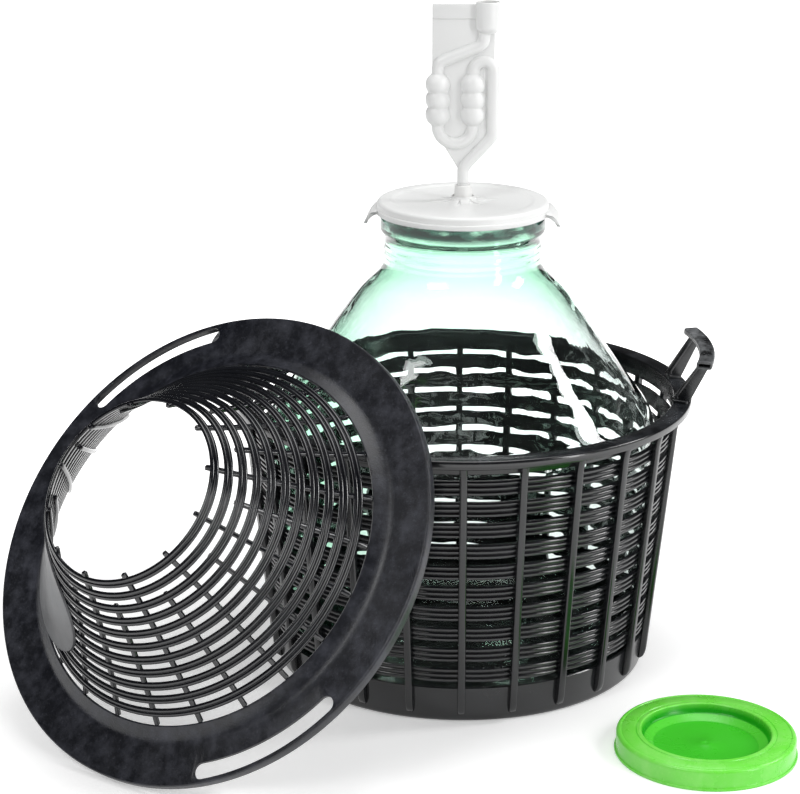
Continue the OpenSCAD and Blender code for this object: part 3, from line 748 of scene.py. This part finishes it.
def lid_web(reach, width):
    """A soft fold that runs out from the boss and dies away in the dish."""
    outline = [(8.8, WEB_TOP - 1.2), (8.8, WEB_TOP + 3.6), (9.4, WEB_TOP + 3.2)]
    outline += [(r, WEB_TOP + z) for r, z in bow((11, 2.2), (4, -1.3), (reach, -0.5), (12, -0.2), 10)]
    outline.append((reach, WEB_TOP - 1.2))
    return soften(upright("web", outline, width), width * 0.42 * MM, 5, 30)


def push_lid():
    ears = copies(lid_ear(), [turn_z(-4), turn_z(176)])
    webs = [moved(lid_web(reach, width), turn_z(turn)) for turn, reach, width in WEBS]
    return joined("lid_with_ears", [lid_body(), ears] + webs)


settle(smooth(push_lid(), 42), "lid", WHITE, "white_plastic", "lid")


# Grommet: a soft neck that flares onto the lid

STEM_R = 4.6
GROMMET_BORE_R = STEM_R + 0.05
GROMMET_NECK_R = 7.0


def grommet_neck():
    """A bored neck, with the part below the flare sunk into the lid's hole."""
    top, bore, neck = LID_TOP, GROMMET_BORE_R, GROMMET_NECK_R
    outline = [(bore, top - 5.4), (5.1, top - 5.4), (5.92, top - 3.9), (5.92, top - 0.6),
               (8.0, top - 0.6), (8.4, top - 0.2), (8.2, top + 0.5)]
    outline += bow((8.0, top + 0.9), (-0.5, 1.3), (neck, top + 4.2), (-0.1, 1.6), 5)
    outline += [(neck - 0.4, top + 10.6)]
    outline += arc((neck - 1.3, top + 11.1), 0.9, 10, 90, 4)
    outline += [(bore + 0.3, top + 12), (bore, top + 11.7)]
    return turned("grommet_neck", in_metres(outline), 72)


settle(smooth(grommet_neck(), 50), "grommet", RUBBER, "grommet_rubber", "grommet")


# Airlock: bent tubes, bubbles and cup, pinched from one blank with a thin web between them

LEFT_X, RIGHT_X, LEG_X, CUP_X = -20.6, 7.3, 23.2, 18.5
TOP_Z = LID_TOP + 157
CUP_R, CUP_H, CUP_T, BUBBLE_R = 9.6, 25.0, 1.2, 9.7
CUP_LOW = TOP_Z - CUP_H
BUBBLES = [TOP_Z - 65 - i * 11.9 for i in range(3)]
BEND_Z = BUBBLES[2] - 9
CROOK_Z = BUBBLES[0] + 10.5
NECK_TURN_Z = CUP_LOW - 8.5
LEFT_TURN_Z = NECK_TURN_Z - 14.3
LEG_TURN_Z = BEND_Z - 8
STEM_TURN_Z = LID_TOP + 26
ELBOW_R = 8.0


def rounded_route(corners):
    """Points along straight runs whose corners (x, z, radius) are rounded off."""
    points = [Vector(corners[0][:2])]
    for before, here, after in zip(corners, corners[1:], corners[2:]):
        corner, radius = Vector(here[:2]), here[2]
        back = (Vector(before[:2]) - corner).normalized()
        ahead = (Vector(after[:2]) - corner).normalized()
        half = back.angle(ahead) / 2
        trim = radius / math.tan(half)
        centre = corner + (back + ahead).normalized() * (radius / math.sin(half))
        start, end = corner + back * trim - centre, corner + ahead * trim - centre
        sweep = start.angle_signed(end)
        count = max(4, round(abs(math.degrees(sweep)) / 9))
        for i in range(count + 1):
            turn = Matrix.Rotation(-sweep * i / count, 2)
            points.append(centre + turn @ start)
    points.append(Vector(corners[-1][:2]))
    return in_metres([(x, 0, z) for x, z in points])


def airlock_tube():
    """The tube from the cup's neck through both columns and the crook down to the stem."""
    bend, crook = (RIGHT_X - LEFT_X) / 2, (LEG_X - RIGHT_X) / 2
    low, high = BEND_Z - bend, CROOK_Z + crook
    return pipe("tube", rounded_route([
        (CUP_X - 3, CUP_LOW + 1, 0), (CUP_X - 3, NECK_TURN_Z, ELBOW_R),
        (LEFT_X, LEFT_TURN_Z, ELBOW_R), (LEFT_X, low, bend - 0.01), (RIGHT_X, low, bend - 0.01),
        (RIGHT_X, high, crook - 0.01), (LEG_X, high, crook - 0.01), (LEG_X, LEG_TURN_Z, ELBOW_R),
        (0, STEM_TURN_Z, ELBOW_R), (0, LID_TOP + 13.5, 0)]), (STEM_R + 0.35) * MM)


def bubble(x, z):
    deselect()
    bpy.ops.mesh.primitive_uv_sphere_add(segments=32, ring_count=20, radius=BUBBLE_R * MM,
                                         location=(0, 0, 0))
    return moved(bpy.context.object, shift(x, 0, z))


def filling_cup():
    """An open cup with a rounded floor."""
    inside = CUP_R - CUP_T
    outline = [(0, 0)] + arc((CUP_R - 6, 6), 6, -90, 0, 8)
    outline += arc((CUP_R - 0.5, CUP_H - 0.5), 0.5, 0, 90, 3)
    outline += [(inside + 0.2, CUP_H), (inside, CUP_H - 0.3)]
    outline += arc((inside - 4.8, 6), 4.8, 0, -90, 8) + [(0, CUP_T)]
    return moved(turned("cup", in_metres(outline), 64), shift(CUP_X, 0, CUP_LOW))


def airlock_web():
    """The thin web between the tubes, with a thicker band along its top."""
    left, right, top = -25.0, 24.0, TOP_Z - 2
    web = upright("web", [
        (left, top), (CUP_X, top), (right, CUP_LOW + 6), (right, CROOK_Z), (LEG_X + 2, LEG_TURN_Z),
        (0, STEM_TURN_Z - 8), (LEFT_X, BEND_Z - 8), (left, BEND_Z + 4)], 2)
    band = upright("band", [(left, top), (CUP_X, top), (CUP_X, top - 11.5), (left, top - 11.5)], 3.6)
    # the blank's seam follows the right column down and ends in a small curl
    seam_x = (RIGHT_X + LEG_X) / 2 + 0.4
    seam = pipe("seam", in_metres([(seam_x - 2.2, 0, CROOK_Z + 0.6), (seam_x - 0.9, 0, CROOK_Z + 2.2),
                                   (seam_x, 0, CROOK_Z), (seam_x, 0, BEND_Z + 8)]), 1.5 * MM)
    soften(web, 0.0005, 2, 40)
    soften(band, 0.0006, 2, 40)
    return joined("web", [web, band, seam])


def stem():
    """The airlock's lower end, bored from below, which turns in the grommet."""
    top, low = STEM_TURN_Z - 12, LID_TOP - 20
    bore = STEM_R - CUP_T
    outline = [(STEM_R, top), (STEM_R, low + 0.5), (STEM_R - 0.5, low), (bore + 0.2, low),
               (bore, low + 0.3), (bore, top - 4), (0, top - 4), (0, top)]
    return turned("stem", in_metres(outline), 32)


def airlock():
    balls = [bubble(x, z) for x in (LEFT_X, RIGHT_X) for z in BUBBLES]
    body = joined("airlock_body", [airlock_tube(), filling_cup()] + balls)
    one_skin(body, 0.00045, 0.5, 2)
    return joined("airlock_s_shape", [body, airlock_web(), stem()])


settle(smooth(airlock(), 50), "airlock", MILKY, "airlock_plastic", "airlock")


# Spare cap: a flared foot, a rounded shoulder, a bead round the recess and a sunk floor

CAP_H, CAP_RECESS_R = 16.7, 49.0


def cap_body():
    """The cap round the Z axis, with a closed recess above and open below."""
    edge, recess = LID_R - 1.2, CAP_RECESS_R
    outline = [(LID_IN_R, 0)] + arc((LID_R - 0.6, 0.6), 0.6, -90, 0, 3)
    outline += arc((LID_R - 0.5, 1.7), 0.5, 0, 80, 3)
    outline += [(edge + 0.15, 2.35), (edge - 0.1, 2.9), (edge, 4.0)]
    outline += arc((edge - 3.2, CAP_H - 3.5), 3.2, 0, 75, 7)
    outline += [(edge - 3.4, CAP_H - 0.32), (edge - 4.0, CAP_H - 0.85), (edge - 4.6, CAP_H - 0.4),
                (recess + 5.0, CAP_H - 0.4), (recess + 4.3, CAP_H - 1.1), (recess + 3.7, CAP_H - 0.3)]
    outline += arc((recess + 1.5, CAP_H - 1.5), 1.5, 75, 180, 7)
    outline += [(recess - 0.8, 9.9), (recess - 1.3, 9.2), (recess - 2.4, 8.75), (recess - 8.0, 6.5),
                (recess - 9.0, 5.8), (recess - 10, 5.6), (20, 5.9), (5.2, 6.0), (4.6, 6.4),
                (1.4, 6.4), (0.8, 6.0), (0, 6.0)]
    outline += [(0, 3.2), (recess - 7.2, 3.2), (recess - 0.2, 6.7), (recess + 2.4, CAP_H - 2.4),
                (LID_IN_R, CAP_H - 2.4)]
    return turned("spare_cap_body", in_metres(outline), 160)


spare_cap = moved(cap_body(), Matrix.Translation((*CAP_PLACE, 0)))
settle(smooth(spare_cap, 40), "spare_cap", GREEN, "green_plastic", "spare_cap")


# Cover: it leans with its skirt on the floor and its flange on the left handle

FLANGE_R, FLANGE_T, FLANGE_SKIRT = 190.0, 3.0, 8.0
FLANGE_EDGE_R = FLANGE_R - 0.4
COLLAR_R, COLLAR_H, COLLAR_IN = 158.0, 6.0, 12.0
MOUTH_R, CONE_H, MOUTH_SLOPE = 70.0, 110.0, 31.0
HOOPS, HOOP_W, HOOP_T, RIDGE_H = 11, 7.0, 1.8, 0.8
# share of a ridge's half width, and its height there
RIDGE_PROFILE = ((-0.94, 0.1), (-0.7, 0.68), (-0.35, 0.93), (0, 1.0), (0.35, 0.93), (0.7, 0.68),
                 (0.94, 0.1))
RIDGE_DIP = 0.45
CONE_RIBS, CONE_RIB_TURN, CONE_RIB_W, CONE_RIB_IN = 12, 26.0, 3.6, 2.2
SLOT_W, SLOT_ANGLE, SLOT_TURN = 12.5, 35.0, 42.5
SLOT_R = FLANGE_R - FLANGE_T - 0.6 - SLOT_W / 2
LEAN_TURN, LEAN_SIDE, SEAT_GAP = 234.9, -63.5, 0.3


def leaning_place():
    """Where the cover's own axes stand, worked out from what it touches."""
    turn, half = math.radians(LEAN_TURN), math.radians(GRIP_TURN / 2)
    ahead = Vector((math.cos(turn), math.sin(turn)))
    across = Vector((-ahead.y, ahead.x))
    grip_z = BASKET_H_MM + HANDLE_H
    corner = -(GRIP_OUT_R - 1.5) * Vector((math.cos(half), math.sin(half)))
    up = FLANGE_R + math.sqrt((COLLAR_R + 0.5) ** 2 - (corner.dot(across) - LEAN_SIDE) ** 2)
    rise = FLANGE_SKIRT - FLANGE_T - SEAT_GAP
    tilt = math.asin(grip_z / math.hypot(up, rise)) - math.atan2(rise, up)
    height = FLANGE_SKIRT * math.cos(tilt) + FLANGE_R * math.sin(tilt)
    reach = (math.cos(tilt) * (grip_z - height) + FLANGE_T + SEAT_GAP) / math.sin(tilt)
    place = (corner.dot(ahead) + reach) * ahead + LEAN_SIDE * across
    return shift(place.x, place.y, height) @ turn_z(LEAN_TURN) @ Matrix.Rotation(tilt, 4, "Y")


LEANING = leaning_place()
CONE_DROP, CONE_FLARE = CONE_H - COLLAR_H, COLLAR_R - COLLAR_IN - MOUTH_R
CONE_TURN = 2 * (math.atan(CONE_FLARE / CONE_DROP) - math.radians(MOUTH_SLOPE))
CONE_BEND_R = math.hypot(CONE_DROP, CONE_FLARE) / (2 * math.sin(CONE_TURN / 2))
CONE_LENGTH = CONE_BEND_R * CONE_TURN
HOOP_PITCH = (CONE_LENGTH - HOOP_W) / (HOOPS - 0.3)


def cone_at(along, out=0.0):
    """Radius and height at a distance along the cone's wall, and a distance outside it."""
    slope = math.radians(MOUTH_SLOPE)
    centre = (MOUTH_R + CONE_BEND_R * math.cos(slope), CONE_H + CONE_BEND_R * math.sin(slope))
    here = slope + along / CONE_BEND_R
    return (centre[0] - (CONE_BEND_R - out) * math.cos(here),
            centre[1] - (CONE_BEND_R - out) * math.sin(here))


def cover_hoop(along):
    """A flat hoop with two round ridges outside."""
    half, base = HOOP_W / 2, HOOP_T / 2
    outline = [cone_at(along - half, -base + 0.4), cone_at(along - half, base - 0.5)]
    for centre in (-HOOP_W / 4, HOOP_W / 4):
        for share, rise in RIDGE_PROFILE:
            out = base - RIDGE_DIP + rise * (RIDGE_H + RIDGE_DIP)
            outline.append(cone_at(along + centre + share * HOOP_W / 4, out))
    outline += [cone_at(along + half, base - 0.5), cone_at(along + half, -base + 0.4),
                cone_at(along + half - 0.4, -base), cone_at(along - half + 0.4, -base)]
    return turned("hoop", in_metres(outline), 144)


def cone_rib(first, last, count=14):
    """A rib on the hoops' inside, between two distances along the cone's wall."""
    inside = HOOP_T / 2 + CONE_RIB_IN
    spots = [first + (last - first) * i / count for i in range(count + 1)]
    outline = [cone_at(s, HOOP_T / 4) for s in spots] + [cone_at(s, -inside) for s in reversed(spots)]
    return soften(upright("cone_rib", outline, CONE_RIB_W), 0.0009, 3, 50)


def rib_turns(first):
    return [turn_z(CONE_RIB_TURN + (i + first) * 360 / CONE_RIBS) for i in range(CONE_RIBS)]


def cover_lattice():
    """Hoops on long ribs, with short ribs between them from the third hoop on."""
    hoops = [cover_hoop(HOOP_W / 2 + i * HOOP_PITCH) for i in range(HOOPS)]
    long_ribs = copies(cone_rib(-3.0, CONE_LENGTH), rib_turns(0))
    short_ribs = copies(cone_rib(2 * HOOP_PITCH, CONE_LENGTH), rib_turns(0.5))
    return joined("cover_lattice", hoops + [long_ribs, short_ribs])


def slot_tool(turn):
    """A round-ended bar along the flange, to cut a handle's slot with."""
    half = SLOT_W / 2
    outline = [(SLOT_R - half, -FLANGE_T - 2), (SLOT_R + half, -FLANGE_T - 2), (SLOT_R + half, 2),
               (SLOT_R - half, 2)]
    bar = turned("slot_bar", in_metres(outline), 24, SLOT_ANGLE, turn - SLOT_ANGLE / 2)
    for side in (-1, 1):
        deselect()
        bpy.ops.mesh.primitive_cylinder_add(vertices=32, radius=(half - 0.05) * MM,
                                            depth=(FLANGE_T + 4) * MM, location=(0, 0, 0))
        place = turn_z(turn + side * SLOT_ANGLE / 2) @ shift(SLOT_R, 0, -FLANGE_T / 2)
        cut_with(bar, moved(bpy.context.object, place), "UNION")
    return bar


def cover_flange():
    """A flat ring with a collar inside, a hanging skirt outside and a slot for each handle."""
    edge_in, edge_out = cone_at(CONE_LENGTH, -HOOP_T / 2), cone_at(CONE_LENGTH, HOOP_T / 2)
    skirt_in, low = FLANGE_R - FLANGE_T, -FLANGE_SKIRT
    outline = [edge_in, (edge_in[0] + 0.3, edge_in[1] + 0.5), edge_out]
    outline += bow((edge_out[0] + 1.2, edge_out[1] - 0.9), (2.4, -1.9), (COLLAR_R + 0.6, 0),
                   (3.2, -0.1), 6)
    outline += [(COLLAR_R + 3, 0), (FLANGE_EDGE_R - 2.4, 0)]
    outline += arc((FLANGE_EDGE_R - 1.4, -1.4), 1.4, 90, 0, 5)
    outline += arc((FLANGE_EDGE_R - 0.6, low + 0.6), 0.6, 0, -90, 3)
    outline += [(skirt_in + 0.5, low), (skirt_in, low + 0.5), (skirt_in, -FLANGE_T),
                (COLLAR_R - 1, -FLANGE_T), (COLLAR_R - 4, -FLANGE_T + 1)]
    piece = turned("cover_flange_ring", in_metres(outline), 180)
    for turn in (SLOT_TURN, SLOT_TURN + 180):
        cut_with(piece, slot_tool(turn))
    return soften(piece, 0.0005, 2, 60)


PLATE_TURN, PLATE_LONG, PLATE_ANGLE, PLATE_T = 297.0, 156.0, 96.0, 1.6
PLATE_S, PLATE_W = CONE_LENGTH * 0.55, CONE_LENGTH * 0.84


def cover_plate():
    """A smooth blank oval plate that lies on the hoops."""
    low, out = PLATE_S - PLATE_W / 2, HOOP_T / 2 + RIDGE_H
    spots = [low + PLATE_W * i / 14 for i in range(15)]
    outline = [cone_at(s, out) for s in spots] + [cone_at(s, out + PLATE_T) for s in reversed(spots)]
    piece = turned("cover_oval_plate", in_metres(outline), 48, PLATE_ANGLE, -PLATE_ANGLE / 2)
    deselect()
    bpy.ops.mesh.primitive_cylinder_add(vertices=72, radius=1, depth=2, location=(0, 0, 0))
    tool = bpy.context.object
    centre = cone_at(PLATE_S, out)
    size = Matrix.Diagonal((PLATE_W / 2 * MM, PLATE_LONG / 2 * MM, PLATE_W / 2 * MM, 1))
    slope = MOUTH_SLOPE + math.degrees(PLATE_S / CONE_BEND_R)
    moved(tool, shift(centre[0], 0, centre[1]) @ turn_y(90 - slope) @ size)
    cut_with(piece, tool, "INTERSECT")
    return soften(piece, 0.0006, 3, 50)


cone_piece = moved(smooth(cover_lattice(), 50), LEANING)
settle(cone_piece, "cover", LATTICE, "cover_plastic", "cover_cone")
flange_piece = moved(smooth(cover_flange(), 45), LEANING)
settle(flange_piece, "cover", FLANGE, "cover_plastic", "cover_flange")
plate_piece = moved(smooth(cover_plate(), 40), LEANING @ turn_z(PLATE_TURN))
settle(plate_piece, "cover", PLATE, "cover_plastic", "cover_plate")


# Stage, lamps and camera

FLOOR_PAINT = (0.82, 0.82, 0.82, 1)
FLOOR_SEEN = (0.93, 0.93, 0.93, 1)
FADE_FROM, FADE_TO, GLOW_NEAR, GLOW_FAR = 0.34, 0.75, 0.27, 0.95
WORLD_LIGHT, WORLD_REFLECTED, WORLD_SEEN = 0.42, 0.05, 1.0
# name, place, height of the point it is aimed at, width and height of its pane, and watts
LAMPS = (("key_left", (-1.5, -1.7, 2.3), 0.15, (1.3, 0.9), 26),
         ("window_right", (1.95, 0.12, 1.42), 0.28, (0.34, 0.95), 17),
         ("strip_front", (1.7, -1.3, 0.9), 0.2, (0.30, 1.8), 18),
         ("top", (0.1, 0.3, 2.6), 0.2, (1.6, 1.6), 28))
CAMERA_PLACE, CAMERA_LENS, CAMERA_DOWN, CAMERA_TURN = (-0.0223, -1.8438, 0.7962), 106.34, 17.387, 0.865


def studio_floor():
    """A pale floor that, to the eye, brightens away from the object until it is plain white."""
    deselect()
    bpy.ops.mesh.primitive_plane_add(size=14, location=(0, 0, 0))
    floor = bpy.context.object
    floor.name = "studio_floor"
    material, tree, where = new_material("StudioFloor")
    tree.nodes.remove(tree.nodes["Principled BSDF"])
    paint = put(tree, "BsdfDiffuse", {"Color": FLOOR_PAINT})
    seen = put(tree, "BsdfDiffuse", {"Color": FLOOR_SEEN})
    fade = ramp(tree, length(tree, where), FADE_FROM, FADE_TO, GLOW_NEAR, GLOW_FAR,
                interpolation_type="SMOOTHSTEP")
    glow = put(tree, "Emission", {"Strength": fade})
    both = put(tree, "AddShader", {0: seen.outputs[0], 1: glow.outputs[0]})
    path = put(tree, "LightPath").outputs
    view = maths(tree, "MAXIMUM", path["Is Camera Ray"], path["Is Glossy Ray"])
    view = maths(tree, "MAXIMUM", view, path["Is Transmission Ray"])
    choose = put(tree, "MixShader", {0: view, 1: paint.outputs[0], 2: both.outputs[0]})
    feed(tree, tree.nodes["Material Output"], {"Surface": choose.outputs[0]})
    floor.data.materials.append(material)


def studio_world():
    """White to the eye and through glass, soft as a light, and dark in reflections."""
    world = bpy.data.worlds.new("StudioWorld")
    bpy.context.scene.world = world
    world.use_nodes = True
    tree = world.node_tree
    path = put(tree, "LightPath").outputs
    level = number_mix(tree, path["Is Glossy Ray"], WORLD_LIGHT, WORLD_REFLECTED)
    view = maths(tree, "MAXIMUM", path["Is Camera Ray"], path["Is Transmission Ray"])
    # only what is seen straight through the glass is white, not what the plastic reflects
    bounces = maths(tree, "ADD", path["Diffuse Depth"], path["Glossy Depth"])
    white = maths(tree, "MULTIPLY", view, maths(tree, "LESS_THAN", bounces, 0.5))
    feed(tree, tree.nodes["Background"],
         {"Color": (1, 1, 1, 1), "Strength": number_mix(tree, white, level, WORLD_SEEN)})


def soft_lamp(name, place, aim_height, pane, power):
    """A lit pane that faces a point on the Z axis."""
    lamp = bpy.data.lights.new(name, "AREA")
    lamp.shape = "RECTANGLE"
    lamp.size, lamp.size_y = pane
    lamp.energy = power
    holder = bpy.data.objects.new(name, lamp)
    holder.location = place
    aim = Vector((0, 0, aim_height)) - Vector(place)
    holder.rotation_euler = aim.to_track_quat("-Z", "Y").to_euler()
    bpy.context.scene.collection.objects.link(holder)


def photo_camera():
    """The photo's camera, as fitted to the rim, ribs, slats, lid, cap and cover."""
    data = bpy.data.cameras.new("PhotoCamera")
    data.sensor_fit = "HORIZONTAL"
    data.sensor_width = 36.0
    data.lens = CAMERA_LENS
    data.clip_start = 0.05
    data.clip_end = 60
    camera = bpy.data.objects.new("PhotoCamera", data)
    camera.location = CAMERA_PLACE
    camera.rotation_euler = Euler((math.radians(90 - CAMERA_DOWN), 0, math.radians(CAMERA_TURN)), "XYZ")
    bpy.context.scene.collection.objects.link(camera)
    bpy.context.scene.camera = camera


studio_floor()
studio_world()
for lamp_row in LAMPS:
    soft_lamp(*lamp_row)
photo_camera()
bpy.context.scene.view_settings.view_transform = "Standard"
